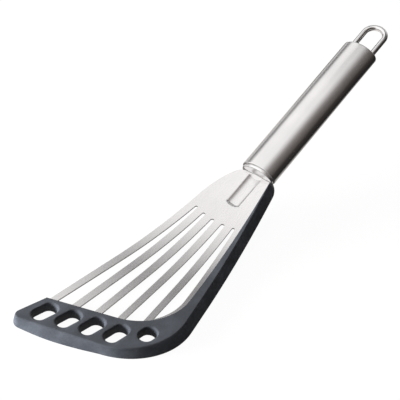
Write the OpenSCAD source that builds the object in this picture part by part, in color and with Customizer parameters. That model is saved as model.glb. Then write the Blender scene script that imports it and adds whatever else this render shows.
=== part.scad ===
// Fish spatula with an oval steel handle, a fanned blade and a moulded edge guard.
// X runs across the blade, Y along the tool with the handle at the back, and Z is up.
// The tool lies on the guard's flat underside, which is z = 0. The origin is on that
// surface, below the middle of the tool's length and width.
// Plan outlines are drawn as [x, d], where d is the distance in front of the neck.

/* [Handle tube] */
// Width of the oval tube
handle_w = 24; // [18:0.5:32]
// Height of the oval tube
handle_h = 15.8; // [12:0.2:22]
// Radius of the oval's two tight sides
handle_end_r = 5.8; // [4:0.1:7]
// Length of the tube
handle_l = 119; // [90:1:150]
// Thickness of the tube's wall
handle_wall = 0.7; // [0.5:0.05:1.5]
// Inside radius of the rolled lip at each end of the tube
lip_inner_r = 0.3; // [0.1:0.05:1]
// Angle between the handle and the surface that the tool lies on
handle_rise = 17; // [5:1:30]

/* [Neck collar and end cap] */
// How far the neck collar stands out of the tube
collar_out = 1.8; // [0.5:0.1:6]
// How deep the neck collar reaches into the tube
collar_in = 9; // [5:0.5:20]
// Radius of the collar's front rim
collar_rim_r = 0.8; // [0.2:0.1:1.2]
// Depth of the end cap inside the tube's lip
cap_l = 2; // [1.5:0.5:8]
// How far the end cap's face lies inside the tube's end
cap_sink = 0.3; // [0:0.1:1]
// Clearance between parts that are fitted together
fit_gap = 0.05; // [0.02:0.01:0.15]

/* [Hanging loop] */
// Diameter of the loop's wire
wire_d = 3.7; // [2.5:0.1:5]
// Distance between the centres of the loop's two legs, as a share of the handle's width
loop_share = 0.6; // [0.4:0.05:0.65]
// Straight length of each leg outside the tube
loop_straight = 16.5; // [5:0.5:40]
// Length of each leg inside the tube
leg_in = 12; // [6:1:30]
// Throat of the weld beads inside the handle
weld_r = 1.2; // [0.6:0.1:2]

/* [Blade sheet] */
// Thickness of the blade's steel sheet
sheet_t = 1; // [0.6:0.1:1.6]
// Straight length of sheet in front of the neck
neck_straight = 12.7; // [5:0.1:30]
// Radius of the bend between the handle's slope and the flat working end
bend_r = 308; // [150:1:500]
// Width of the tang that runs into the handle
tang_w = 13; // [8:0.5:15]
// Length of the tang inside the tube
tang_l = 24; // [12:1:60]
// Radius of the blade's left shoulder
shoulder_r = 8; // [3:0.5:14]
// Distance from the centre line to the centre of the left shoulder's arc
shoulder_x = 6.6; // [2:0.2:12]
// Radius of the long curve between the left shoulder and the left edge
flank_r = 65; // [50:1:120]
// Distance from the centre line to the left edge, carried back to the neck
left_x = 17.97; // [14:0.1:24]
// Lean of the left edge
left_lean = 6.57; // [2:0.1:12]

/* [Stamped groove] */
// Width of the groove where it breaks the sheet's face
groove_w = 9.6; // [5:0.2:12]
// Depth of the groove
groove_depth = 1.2; // [0.5:0.1:2.5]
// Distance from the neck to the groove's front end
groove_l = 29; // [18:0.5:45]

/* [Blade slots] */
// Pitch of the bars where their centre lines reach the neck
bar_pitch = 5; // [4:0.1:6]
// Distance from the centre line to the left strip's centre at the neck
bar_first_x = 15.47; // [10:0.1:20]
// Width of each bar, carried back to the neck
bar_root_w = 5.3; // [4:0.1:6]
// Width of the first bar at the front of the slots
bar_tip_w = 4.2; // [3:0.1:6]
// How much narrower each further bar is at its front
bar_tip_step = 0.25; // [0:0.05:0.5]
// Lean of the left strip
fan_lean = 6.77; // [3:0.1:10]
// Change of lean from the left strip to the first bar
fan_step = 2.69; // [1:0.01:5]
// Growth of that change from each bar to the next
fan_growth = 0.18; // [0:0.01:0.6]
// Distance from the neck to the rear tip of the middle slot
slot_tip_d = 42.5; // [32:0.5:60]
// Radius of the arc along which the slots' rear tips lie
slot_tip_r = 51; // [30:1:150]
// Width of the steel lip between the slots and the guard
lip_w = 0.85; // [0.4:0.05:2]
// Distance from the centre line to the last slot's right edge, carried back to the neck
strip_x = 5.9; // [3:0.1:8]
// Lean of the last slot's right edge
strip_lean = 9; // [5:0.1:14]

/* [Edge guard] */
// Thickness of the moulded guard
guard_t = 6; // [4:0.1:9]
// Height of the sheet's middle above the guard's underside
sheet_mid_z = 3.1; // [2:0.1:5]
// Distance from the centre line to the guard's inner edge, carried back to the neck
inner_x = 10.2; // [8:0.1:14]
// Lean of the guard's inner edge
inner_lean = 8.44; // [4:0.1:14]
// Distance from the neck to the guard's inner front edge on the centre line
inner_d = 143.8; // [110:0.5:180]
// Skew of the guard's inner front edge
inner_skew = 18.8; // [5:0.1:25]
// Radius of the guard's inner corner
inner_r = 34; // [15:1:50]
// Distance from the centre line to the upper outer edge, carried back to the neck
top_x = 10.5; // [9:0.1:15]
// Lean of the upper outer edge
top_lean = 11.1; // [5:0.1:16]
// Distance from the neck to the upper front edge on the centre line
top_d = 167.4; // [130:0.5:210]
// Skew of the upper front edge
top_skew = 16.4; // [5:0.1:25]
// Radius of the upper outer corner
top_r = 38; // [20:1:60]
// How far the right wall leans out from its upper edge to its foot
side_flare = 4.4; // [0:0.1:6]
// How far the front wall leans out from its upper edge to its foot
front_flare = 1.9; // [0:0.1:4]
// How far the left end wall leans out from its upper edge to its foot
end_flare = 1.4; // [0:0.1:4]
// Lean of the guard's left end
end_lean = 16.2; // [0:0.1:20]
// Height of the upright foot below the leaning walls
foot_h = 1; // [0.4:0.1:2]
// Radius of the upper edge at the front left corner
nose_r = 3.2; // [1:0.1:6]
// Radius of the foot at the front left corner
nose_foot_r = 5.6; // [2:0.1:8]
// Distance from the neck to the rear end of the upper edge
tail_d = 4.8; // [2:0.1:12]
// Distance from the neck to the middle of the foot's round at the rear end
tail_foot_d = 9.9; // [6:0.1:16]
// Radius of the foot's round at the rear end
tail_foot_r = 12; // [6:0.5:16]
// Depth of sheet that the guard's right side grips
grip_w = 1.75; // [1:0.05:4]
// Depth of plastic in front of the sheet
grip_front = 4.5; // [2:0.1:8]
// Clearance between the sheet and the plastic moulded round it
mould_gap = 0.05; // [0.02:0.01:0.1]
// Clearance between the guard's rear end and the handle
collar_gap = 0.15; // [0.05:0.05:0.5]

/* [Guard slots] */
// Width of the guard's slots
guard_slot_w = 9; // [6:0.1:11]
// Length of the four slots along the front
guard_slot_l = 17.3; // [12:0.1:19]
// Length of the slot in the corner
corner_slot_l = 13.2; // [10:0.1:17]
// Distance from the centre line to the middle of the first slot
guard_slot_x = 29.8; // [26:0.1:34]
// Pitch of the slots across the guard
guard_slot_pitch = 13.4; // [11:0.1:15]
// Lean of the first slot
guard_slot_lean = 14.2; // [5:0.1:20]
// Change of lean from each slot to the next
guard_slot_step = 1.6; // [0:0.1:3]
// Distance from the neck to the middle of the corner slot
corner_slot_d = 141.6; // [115:0.1:170]
// Width of plastic between a guard slot and the sheet's cut edge
slot_wall = 1.2; // [0.8:0.1:2]

/* [Hidden] */
$fn = 96;

steel = [0.80, 0.81, 0.83];
bright_steel = [0.88, 0.89, 0.90];
weld_grey = [0.55, 0.54, 0.52];
charcoal = [0.27, 0.29, 0.32];

// Larger than the whole tool, for cuts that run right through
reach = 600;

// Oval of the handle: two tight arcs at the sides and two flat arcs above and below
end_x = handle_w / 2 - handle_end_r;
flat_rise = handle_h / 2 - handle_end_r;
flat_y = (end_x * end_x - flat_rise * flat_rise) / (2 * flat_rise);
flat_r = flat_y + handle_h / 2;
end_half_angle = atan2(flat_y, end_x);
flat_half_angle = 90 - end_half_angle;

// Plugs in the tube: how far their parts are drawn in from the tube's skin
rim_r = handle_wall + lip_inner_r;
lip_inset = rim_r + fit_gap;
bore_inset = handle_wall + fit_gap;

// Line that the sheet follows from the flat front, round the bend and up to the neck
straight_d = neck_straight * cos(handle_rise);
bend_d = straight_d + bend_r * sin(handle_rise);
bend_z = sheet_mid_z + bend_r;
bend_steps = 20;
neck_z = bend_z - bend_r * cos(handle_rise) + neck_straight * sin(handle_rise);
sheet_half = sheet_t / 2;
guard_above = guard_t - sheet_mid_z;

// Groove: a round tool that sinks groove_depth into a chord of groove_w
groove_r = (groove_w * groove_w / 4 + groove_depth * groove_depth) / (2 * groove_depth);
ridge_r = groove_r + sheet_t;
groove_lift = sheet_half + groove_r - groove_depth;
ridge_half_w = sqrt(ridge_r * ridge_r - pow(groove_lift + sheet_half, 2));
groove_rear = collar_out + 2 * fit_gap + ridge_half_w;
groove_front = groove_l - groove_w / 2;

bar_count = 5;
guard_slot_count = 5;
loop_r = handle_w * loop_share / 2;
wire_r = wire_d / 2;

// Corner outlines: [side x at the neck, side lean, front d on the centre line, front skew, radius]
inner_edge = [inner_x, inner_lean, inner_d, inner_skew, inner_r];
slot_edge = [strip_x, strip_lean, inner_d - lip_w, inner_skew, inner_r];
top_edge = [top_x, top_lean, top_d, top_skew, top_r];
foot_edge = [
    top_x + side_flare / cos(top_lean),
    top_lean,
    top_d + front_flare / cos(top_skew),
    top_skew,
    top_r + front_flare
];
sheet_edge = [
    inner_x + grip_w / cos(inner_lean),
    inner_lean,
    top_d - grip_front / cos(top_skew),
    top_skew,
    top_r - grip_front
];

// Where the blade's left edge goes into the guard
end_d = (inner_d + left_x * tan(inner_skew)) / (1 - tan(left_lean) * tan(inner_skew));
end_left_x = -left_x - end_d * tan(left_lean);

function side_x(edge, d) = edge[0] + d * tan(edge[1]);
function front_d(edge, x) = edge[2] - x * tan(edge[3]);
function arc_points(centre, r, from, to, steps) = [
    for (i = [0:steps])
        let (a = from + (to - from) * i / steps)
        centre + r * [cos(a), sin(a)]
];

// Outline of the handle's oval, drawn in by inset from the tube's skin
oval_steps = 14;
function oval_points(inset) = [
    for (side = [0, 180])
        each concat(
            [for (i = [0:oval_steps - 1]) let (a = side + end_half_angle * (2 * i / oval_steps - 1))
                [end_x * cos(side), 0] + (handle_end_r - inset) * [cos(a), sin(a)]],
            [for (i = [0:oval_steps - 1]) let (a = side + 90 + flat_half_angle * (2 * i / oval_steps - 1))
                [0, -flat_y * cos(side)] + (flat_r - inset) * [cos(a), sin(a)]]
        )
];

// Line that runs at height above over the sheet's middle, as [y, z] points
function layer_line(above, rear) = concat(
    [[-reach, sheet_mid_z + above]],
    [
        for (i = [0:bend_steps])
            let (a = handle_rise * i / bend_steps)
            [(bend_r - above) * sin(a) - bend_d, bend_z - (bend_r - above) * cos(a)]
    ],
    [[
        rear * cos(handle_rise) - above * sin(handle_rise),
        neck_z + rear * sin(handle_rise) + above * cos(handle_rise)
    ]]
);

// Point where two lines meet, each given as its normal's angle and its distance from the neck
function meet(angle_1, dist_1, angle_2, dist_2) =
    [
        dist_1 * sin(angle_2) - dist_2 * sin(angle_1),
        dist_2 * cos(angle_1) - dist_1 * cos(angle_2)
    ] / sin(angle_2 - angle_1);

// Round between an outline's side line and its front line
function corner_centre(edge) = meet(
    -edge[1],
    edge[0] * cos(edge[1]) - edge[4],
    90 - edge[3],
    edge[2] * cos(edge[3]) - edge[4]
);
function corner_arc(edge, steps) =
    arc_points(corner_centre(edge), edge[4], -edge[1], 90 - edge[3], steps);

// Round between an outline's front line and the guard's left end, which flare shifts outward
end_dist = -end_left_x * cos(end_lean) - end_d * sin(end_lean);
function nose_centre(edge, flare, r) = meet(
    90 - edge[3],
    edge[2] * cos(edge[3]) - r,
    180 + end_lean,
    end_dist + flare - r
);
function nose_arc(edge, flare, r, steps) =
    arc_points(nose_centre(edge, flare, r), r, 90 - edge[3], 180 + end_lean, steps);

// Round at the rear end of an outline's side line, with its middle at distance d
function tail_centre(edge, d, r) = [side_x(edge, d) - r / cos(edge[1]), d];
function tail_arc(edge, d, r, steps) =
    arc_points(tail_centre(edge, d, r), r, tail_from, -edge[1], steps);

// Whole outer path of the guard from its rear end to its left end
tail_from = -80;
tail_steps = 8;
side_steps = 20;
corner_steps = 28;
nose_steps = 10;
tail_top_r = 0.4;
end_run = 12;
function outer_path(edge, flare, nose, tail_d, tail_r) =
    let (
        tail = tail_arc(edge, tail_d, tail_r, tail_steps),
        corner = corner_arc(edge, corner_steps),
        nose_round = nose_arc(edge, flare, nose, nose_steps),
        start = tail[tail_steps],
        step = (corner[0] - start) / side_steps
    )
    concat(
        tail,
        [for (i = [1:side_steps - 1]) start + step * i],
        corner,
        nose_round,
        [nose_round[nose_steps] + end_run * [sin(end_lean), -cos(end_lean)]]
    );
top_path = outer_path(top_edge, 0, nose_r, tail_d, tail_top_r);
foot_path = outer_path(foot_edge, end_flare, nose_foot_r, tail_foot_d, tail_foot_r);

// Height of the surface that lies above the sheet's middle, or under it, at distance d
function face_z(d, above) =
    d > bend_d ? sheet_mid_z + above :
    d > straight_d ? bend_z - sqrt(pow(bend_r - above, 2) - pow(bend_d - d, 2)) :
    neck_z + above / cos(handle_rise) - d * tan(handle_rise);

// Bars of the blade: bar k has its lean, its middle and its width at distance d; k = 0 is the left strip
function bar_lean(k) = fan_lean - fan_step * k - fan_growth * k * (k - 1) / 2;
function bar_mid(k, d) = bar_pitch * k - bar_first_x - d * tan(bar_lean(k));
function bar_w(k, d) =
    bar_root_w + (bar_tip_w - bar_tip_step * max(k - 1, 0) - bar_root_w) * d / inner_d;
function gap_left(k, d) = bar_mid(k, d) + bar_w(k, d) / 2;
function gap_right(k, d) =
    k == bar_count - 1 ? side_x(slot_edge, d) : bar_mid(k + 1, d) - bar_w(k + 1, d) / 2;

// Distance of the rear tip of the slot whose middle is at x
function tip_d(x) = slot_tip_d - x * x / (2 * slot_tip_r);

// Middle of the guard's front band at x
function band_d(x) = (front_d(inner_edge, x) + front_d(top_edge, x)) / 2;

// Extent of the tool, which places its origin
loop_end = handle_l + loop_straight + loop_r;
rear_y = loop_end * cos(handle_rise) + wire_r;
foot_nose = nose_centre(foot_edge, end_flare, nose_foot_r);
front_y = -foot_nose[1] - nose_foot_r;
right_x = corner_centre(foot_edge)[0] + foot_edge[4];
left_end_x = foot_nose[0] - nose_foot_r;

// Puts the origin below the middle of the tool
module placed() {
    translate([-(left_end_x + right_x) / 2, -(front_y + rear_y) / 2, 0])
        children();
}

// Turns a plan outline, drawn as [x, d], into an upright prism
module plan() {
    translate([0, 0, -reach / 2])
        linear_extrude(reach)
            mirror([0, 1])
                children();
}

// Places what is drawn with Z along the handle, from the neck to the rear, and Y downward
module on_handle() {
    translate([0, 0, neck_z])
        rotate([handle_rise - 90, 0, 0])
            children();
}

// Solid made of ovals stacked along Z, each given as [inset, z]; a hollow one closes on itself
module oval_stack(profile, hollow) {
    count = len(oval_points(0));
    last = len(profile) - 1;
    points = [for (p = profile) each [for (q = oval_points(p[0])) [q[0], q[1], p[1]]]];
    walls = [
        for (i = [0:hollow ? last : last - 1], j = [0:count - 1])
            let (
                next = (i + 1) % (last + 1) * count,
                side = (j + 1) % count
            )
            [i * count + j, next + j, next + side, i * count + side]
    ];
    caps = hollow ? [] : [
        [for (j = [0:count - 1]) j],
        [for (j = [count - 1:-1:0]) last * count + j]
    ];
    polyhedron(points, concat(walls, caps));
}

// Band that follows the sheet from the front up to distance rear behind the neck
module layer(below, above, rear) {
    rotate([90, 0, 90])
        linear_extrude(reach, center = true)
            polygon(concat(
                layer_line(-below, rear),
                [for (i = [bend_steps + 2:-1:0]) layer_line(above, rear)[i]]
            ));
}

// Slot with round ends, along d
module round_slot(w, l) {
    square([w, l - w], center = true);
    for (end = [-1, 1])
        translate([0, end * (l - w) / 2])
            circle(w / 2);
}

// The guard's five slots in plan, each wider by grow all round
module guard_slots(grow) {
    for (k = [0:guard_slot_count - 1]) {
        x = guard_slot_pitch * k - guard_slot_x;
        in_corner = k == guard_slot_count - 1;
        d = in_corner ? corner_slot_d : band_d(x);
        l = in_corner ? corner_slot_l : guard_slot_l;
        translate([x, d])
            rotate(guard_slot_lean - guard_slot_step * k)
                round_slot(guard_slot_w + 2 * grow, l + 2 * grow);
    }
}

// Plan of the blade's sheet without its openings
module sheet_plan() {
    rear_d = (collar_out + fit_gap) * cos(handle_rise) + sheet_half * sin(handle_rise);
    finger_lean = (left_lean + end_lean) / 2;
    finger_t = tan(finger_lean);
    finger_d = (front_d(sheet_edge, end_left_x) - end_d * finger_t * tan(top_skew)) / (1 - finger_t * tan(top_skew));
    lean_t = tan(left_lean);
    shoulder = [-shoulder_x, rear_d + shoulder_r];
    run = flank_r / cos(left_lean) - left_x + shoulder_x;
    half_b = run * lean_t + shoulder[1];
    spare = pow(flank_r - shoulder_r, 2) - run * run - shoulder[1] * shoulder[1];
    flank_d = (half_b + sqrt(half_b * half_b + (1 + lean_t * lean_t) * spare)) / (1 + lean_t * lean_t);
    flank = [run - shoulder_x - flank_d * lean_t, flank_d];
    join = 360 + atan2(shoulder[1] - flank[1], shoulder[0] - flank[0]);
    polygon(concat(
        [[side_x(sheet_edge, rear_d), rear_d]],
        corner_arc(sheet_edge, 24),
        [[end_left_x - (finger_d - end_d) * finger_t, finger_d]],
        [[end_left_x, end_d]],
        arc_points(flank, flank_r, 180 + left_lean, join, 14),
        arc_points(shoulder, shoulder_r, join, 270, 14)
    ));
    translate([-tang_w / 2, -reach / 2])
        square([tang_w, reach / 2 + shoulder[1]]);
}

// The blade's five fanned slots in plan
module blade_slots() {
    far = inner_d + reach / 10;
    intersection() {
        polygon(concat(
            [[side_x(slot_edge, 0), 0]],
            corner_arc(slot_edge, 24),
            [[-reach / 4, front_d(slot_edge, -reach / 4)]],
            [[-reach / 4, 0]]
        ));
        for (k = [0:bar_count - 1]) {
            mid = (gap_left(k, slot_tip_d) + gap_right(k, slot_tip_d)) / 2;
            tip = tip_d(mid);
            r = (gap_right(k, tip) - gap_left(k, tip)) / 2;
            d = tip + r;
            polygon([
                [gap_left(k, d), d],
                [gap_left(k, far), far],
                [gap_right(k, far), far],
                [gap_right(k, d), d]
            ]);
            translate([(gap_left(k, d) + gap_right(k, d)) / 2, d])
                circle((gap_right(k, d) - gap_left(k, d)) / 2);
        }
    }
}

// Plan of everything that lies inside the guard's inner edge
module inner_plan() {
    polygon(concat(
        [[side_x(inner_edge, -inner_r), -inner_r]],
        corner_arc(inner_edge, 24),
        [[-reach / 4, front_d(inner_edge, -reach / 4)]],
        [[-reach / 4, -inner_r]]
    ));
}

// Solid inside the guard's leaning walls and upright foot, from far below it to far above it
module flare_body() {
    over = 0.02;
    middle = [0, inner_d / 2];
    foot = concat(foot_path, [middle]);
    top = concat([for (i = [0:len(top_path) - 1]) top_path[i] + over * (top_path[i] - foot_path[i])], [middle]);
    count = len(foot);
    function foot_z(p) = face_z(p[1], -sheet_mid_z) + foot_h;
    function top_z(i) =
        let (z = face_z(i < count - 1 ? top_path[i][1] : middle[1], guard_above))
        z + over * (z - foot_z(foot[i]));
    points = concat(
        [for (p = foot) [p[0], -p[1], -reach]],
        [for (p = foot) [p[0], -p[1], foot_z(p)]],
        [for (i = [0:count - 1]) [top[i][0], -top[i][1], top_z(i)]],
        [for (p = top) [p[0], -p[1], reach]]
    );
    walls = [
        for (ring = [0:2], j = [0:count - 1])
            let (
                a = ring * count + j,
                b = ring * count + (j + 1) % count
            )
            each [[a, b, b + count], [a, b + count, a + count]]
    ];
    caps = [
        [for (j = [count - 1:-1:0]) j],
        [for (j = [0:count - 1]) 3 * count + j]
    ];
    polyhedron(points, concat(walls, caps));
}

// Stamped steel blade with its tang
module blade() {
    color(steel)
        difference() {
            union() {
                intersection() {
                    layer(sheet_half, sheet_half, tang_l);
                    plan()
                        difference() {
                            sheet_plan();
                            blade_slots();
                            guard_slots(slot_wall);
                        }
                }
                intersection() {
                    groove_tool(ridge_r);
                    layer(ridge_r, 0, 0);
                }
            }
            groove_tool(groove_r);
        }
}

// Round-bottomed tool that stamps the groove along the sheet's middle
module groove_tool(r) {
    on_handle()
        translate([0, -groove_lift, 0]) {
            translate([0, 0, -groove_front])
                cylinder(r = r, h = groove_front - groove_rear);
            for (s = [groove_rear, groove_front])
                translate([0, 0, -s])
                    sphere(r);
        }
}

// Plastic guard moulded round the blade's front and right edges
module edge_guard() {
    color(charcoal)
        difference() {
            intersection() {
                layer(sheet_mid_z, guard_above, tail_foot_r);
                flare_body();
            }
            plan()
                inner_plan();
            plan()
                guard_slots(0);
            intersection() {
                layer(sheet_half + mould_gap, sheet_half + mould_gap, tail_foot_r);
                plan()
                    difference() {
                        offset(delta = mould_gap)
                            sheet_plan();
                        guard_slots(slot_wall - mould_gap);
                    }
            }
            on_handle() {
                translate([0, 0, -collar_out - collar_gap])
                    linear_extrude(collar_out + collar_gap)
                        polygon(oval_points(lip_inset - collar_gap));
                translate([0, 0, -collar_gap])
                    linear_extrude(tail_foot_r)
                        polygon(oval_points(-collar_gap));
            }
        }
}

// Oval collar that closes the neck and holds the tang
module neck_collar() {
    seat = rim_r + fit_gap;
    slot_w = tang_w + 2 * fit_gap;
    slot_h = sheet_t + 2 * fit_gap;
    color(bright_steel)
        on_handle()
            difference() {
                oval_stack(
                    concat(
                        [
                            for (a = [0:15:90])
                                [lip_inset + collar_rim_r * (1 - sin(a)), collar_rim_r * (1 - cos(a)) - collar_out]
                        ],
                        [[lip_inset, seat], [bore_inset, seat], [bore_inset, collar_in]]
                    ),
                    false
                );
                translate([-slot_w / 2, -slot_h / 2, -2 * collar_out])
                    cube([slot_w, slot_h, 3 * collar_out + collar_in]);
            }
}

// Drawn oval tube with its ends rolled in
module handle_tube() {
    color(steel)
        on_handle()
            oval_stack(
                concat(
                    [for (a = [0:18:90]) [rim_r * (1 - sin(a)), rim_r * (1 - cos(a))]],
                    [for (a = [0:18:90]) [rim_r * (1 - cos(a)), handle_l - rim_r * (1 - sin(a))]],
                    [for (a = [90:-45:0]) [rim_r - lip_inner_r * cos(a), handle_l - rim_r + lip_inner_r * sin(a)]],
                    [for (a = [90:-45:0]) [rim_r - lip_inner_r * sin(a), rim_r - lip_inner_r * cos(a)]]
                ),
                true
            );
}

// Oval cap behind the rear lip, with a hole for each leg of the loop
module end_cap() {
    seat = handle_l - rim_r - fit_gap;
    face = handle_l - cap_sink;
    color(bright_steel)
        on_handle()
            difference() {
                oval_stack([[bore_inset, seat - cap_l], [bore_inset, seat], [lip_inset, seat], [lip_inset, face]], false);
                for (side = [-1, 1])
                    translate([side * loop_r, 0, seat - 2 * cap_l])
                        cylinder(r = wire_r + fit_gap, h = 3 * cap_l + rim_r);
            }
}

// Bent wire loop whose legs run into the handle
module hanging_loop() {
    leg_l = leg_in + loop_straight;
    color(bright_steel)
        on_handle()
            translate([0, 0, handle_l]) {
                for (side = [-1, 1])
                    translate([side * loop_r, 0, -leg_in])
                        cylinder(r = wire_r, h = leg_l);
                translate([0, 0, loop_straight])
                    rotate([90, 0, 0])
                        rotate_extrude(angle = 180)
                            translate([loop_r, 0])
                                circle(wire_r);
            }
}

// Bead of weld along one face of the tang, behind the collar
module tang_weld(face) {
    color(weld_grey)
        on_handle()
            intersection() {
                translate([-tang_w / 2, face * (sheet_half + fit_gap), collar_in + fit_gap])
                    rotate([0, 90, 0])
                        cylinder(r = weld_r, h = tang_w);
                translate([-tang_w / 2, face < 0 ? -handle_h : sheet_half + fit_gap, collar_in + fit_gap])
                    cube([tang_w, handle_h - (face < 0 ? sheet_half + fit_gap : 0), 2 * weld_r]);
            }
}

module tang_weld_top() {
    tang_weld(-1);
}

module tang_weld_bottom() {
    tang_weld(1);
}

// Ring of weld round one leg of the loop, in front of the end cap
module loop_weld(side) {
    color(weld_grey)
        on_handle()
            translate([side * loop_r, 0, handle_l - rim_r - cap_l - 2 * fit_gap])
                rotate_extrude()
                    intersection() {
                        translate([wire_r + fit_gap, 0])
                            circle(weld_r);
                        translate([wire_r + fit_gap, -weld_r])
                            square(weld_r);
                    }
}

module loop_weld_left() {
    loop_weld(-1);
}

module loop_weld_right() {
    loop_weld(1);
}

placed() blade();
placed() edge_guard();
placed() neck_collar();
placed() handle_tube();
placed() end_cap();
placed() hanging_loop();
placed() tang_weld_top();
placed() tang_weld_bottom();
placed() loop_weld_left();
placed() loop_weld_right();
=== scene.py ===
"""Fish spatula: a slotted steel blade in a moulded edge guard, on an oval tube handle with a hanging loop."""

import logging
from dataclasses import dataclass
from enum import Enum
from math import atan2, cos, degrees, radians, sin, sqrt, tan

import bmesh
import bpy
import numpy as np
from mathutils import Euler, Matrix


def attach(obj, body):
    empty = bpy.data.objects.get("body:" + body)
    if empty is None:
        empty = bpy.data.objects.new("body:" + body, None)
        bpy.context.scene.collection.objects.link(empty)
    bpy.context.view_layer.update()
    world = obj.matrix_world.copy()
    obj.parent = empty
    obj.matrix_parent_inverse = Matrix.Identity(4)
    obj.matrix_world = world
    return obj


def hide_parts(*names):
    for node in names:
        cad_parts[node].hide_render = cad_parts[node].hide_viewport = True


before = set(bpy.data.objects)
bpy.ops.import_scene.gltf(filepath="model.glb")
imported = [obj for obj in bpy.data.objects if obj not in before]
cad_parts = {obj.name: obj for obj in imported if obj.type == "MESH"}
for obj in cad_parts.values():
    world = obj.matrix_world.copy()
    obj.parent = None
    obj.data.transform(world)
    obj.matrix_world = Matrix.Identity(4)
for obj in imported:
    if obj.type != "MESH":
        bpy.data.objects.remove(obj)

LOG = logging.getLogger("fish_spatula")
MM = 0.001
BODY = "root"
JOIN = 2e-6  # metres within which a mesh's points become one
Mesh = tuple[np.ndarray, np.ndarray]
Values = np.ndarray | float
Triple = tuple[float, float, float]
Span = tuple[float, float]


class Slot(Enum):
    """Material slots of the record."""

    SHEET = "sheet_steel"
    TUBE = "tube_steel"
    POLISHED = "polished_steel"
    WELD = "weld_steel"
    PLASTIC = "guard_plastic"


class Brushing(Enum):
    """Direction of a steel finish's fine lines, as the number of lines per metre on each axis."""

    LENGTHWISE = (2600.0, 45.0, 2600.0)
    EVEN = (1400.0, 1400.0, 1400.0)


class Facing(Enum):
    """What is done to a new mesh's faces: nothing, turned to agree, or closed and turned outward."""

    AS_BUILT = "as built"
    AGREED = "agreed"
    CLOSED = "closed"


class Wire:
    """An output of a shader node, with arithmetic that adds Math nodes."""

    def __init__(self, sheet: "ShaderSheet", socket: bpy.types.NodeSocket) -> None:
        """Keeps the socket and the sheet that it belongs to."""
        self.sheet = sheet
        self.socket = socket

    def _math(self, operation: str, *values: "Wire | float") -> "Wire":
        """Adds a Math node that works on the values."""
        return self.sheet.node("ShaderNodeMath", {"operation": operation}, dict(enumerate(values)))

    def __add__(self, other: "Wire | float") -> "Wire":
        """Sum of the two."""
        return self._math("ADD", self, other)

    __radd__ = __add__

    def __mul__(self, other: "Wire | float") -> "Wire":
        """Product of the two."""
        return self._math("MULTIPLY", self, other)

    __rmul__ = __mul__

    def __sub__(self, other: "Wire | float") -> "Wire":
        """This one less the other."""
        return self._math("SUBTRACT", self, other)

    def __rsub__(self, other: float) -> "Wire":
        """The other less this one."""
        return self._math("SUBTRACT", other, self)

    def maximum(self, other: "Wire | float") -> "Wire":
        """The larger of the two."""
        return self._math("MAXIMUM", self, other)

    def minimum(self, other: "Wire | float") -> "Wire":
        """The smaller of the two."""
        return self._math("MINIMUM", self, other)

    def ease(self, low: float, high: float) -> "Wire":
        """Smooth step of this value, from 0 at low to 1 at high."""
        settings = {"interpolation_type": "SMOOTHSTEP"}
        return self.sheet.node("ShaderNodeMapRange", settings, {0: self, 1: low, 2: high, 3: 0.0, 4: 1.0})


class ShaderSheet:
    """A material's or world's node tree, which is filled from Python expressions."""

    def __init__(self, owner: bpy.types.Material | bpy.types.World) -> None:
        """Keeps the owner and empties its tree.

        Args:
            owner: the material or world.
        """
        owner.use_nodes = True
        self.owner, self.tree = owner, owner.node_tree
        self.tree.nodes.clear()

    def node(self, kind: str, settings: dict | None = None, inputs: dict | None = None,
             output: int | str = 0) -> Wire:
        """Adds one node.

        Args:
            kind: the node's type.
            settings: attributes, set before the inputs.
            inputs: value or Wire for each input, by its name or number.
            output: name or number of the output to return.

        Returns:
            The chosen output.
        """
        made = self.tree.nodes.new(kind)
        for name, value in (settings or {}).items():
            setattr(made, name, value)
        for key, value in (inputs or {}).items():
            if isinstance(value, Wire):
                self.tree.links.new(value.socket, made.inputs[key])
            else:
                made.inputs[key].default_value = value
        return Wire(self, made.outputs[output] if len(made.outputs) else None)

    def mix(self, factor: Wire | float, first: Wire | tuple, second: Wire | tuple) -> Wire:
        """Colour that is the first where the factor is 0, and the second where it is 1."""
        return self.node("ShaderNodeMix", {"data_type": "RGBA"}, {0: factor, 6: first, 7: second}, 2)

    def spot(self) -> Wire:
        """Object coordinates in metres."""
        return self.node("ShaderNodeTexCoord", output="Object")

    def axis(self, vector: Wire, number: int) -> Wire:
        """One of a vector's three numbers."""
        return self.node("ShaderNodeSeparateXYZ", {}, {"Vector": vector}, number)

    def noise(self, scale: Triple, detail: float, roughness: float, turn: float = 0.0) -> Wire:
        """Noise over object coordinates, turned about X and stretched.

        Args:
            scale: lines per metre on each axis.
            detail: number of octaves.
            roughness: strength of the finer octaves.
            turn: angle about X in degrees.

        Returns:
            The noise's value.
        """
        turned = {"Vector": self.spot(), "Rotation": (radians(turn), 0.0, 0.0)}
        turned = self.node("ShaderNodeMapping", {}, turned)
        place = self.node("ShaderNodeMapping", {}, {"Vector": turned, "Scale": scale})
        inputs = {"Vector": place, "Scale": 1.0, "Detail": detail, "Roughness": roughness}
        return self.node("ShaderNodeTexNoise", {}, inputs)

    def bump(self, height: Wire, strength: float, distance: float) -> Wire:
        """Normal that follows a height, with a share of the effect and its relief in metres."""
        return self.node("ShaderNodeBump", {}, {"Strength": strength, "Distance": distance, "Height": height})

    def glow(self, tone: Wire | Triple, light: Wire) -> Wire:
        """Emission of a colour times a brightness."""
        colour = self.node("ShaderNodeVectorMath", {"operation": "SCALE"}, {"Vector": tone, "Scale": light})
        return self.node("ShaderNodeEmission", {}, {"Color": colour, "Strength": 1.0})

    def surface(self, shader: Wire) -> bpy.types.Material:
        """Ends the tree with the shader, and gives the material."""
        self.node("ShaderNodeOutputMaterial", {}, {"Surface": shader})
        return self.owner

    def principled(self, inputs: dict) -> bpy.types.Material:
        """Ends the tree with a Principled shader that has the inputs, and gives the material."""
        return self.surface(self.node("ShaderNodeBsdfPrincipled", {}, inputs))


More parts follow.
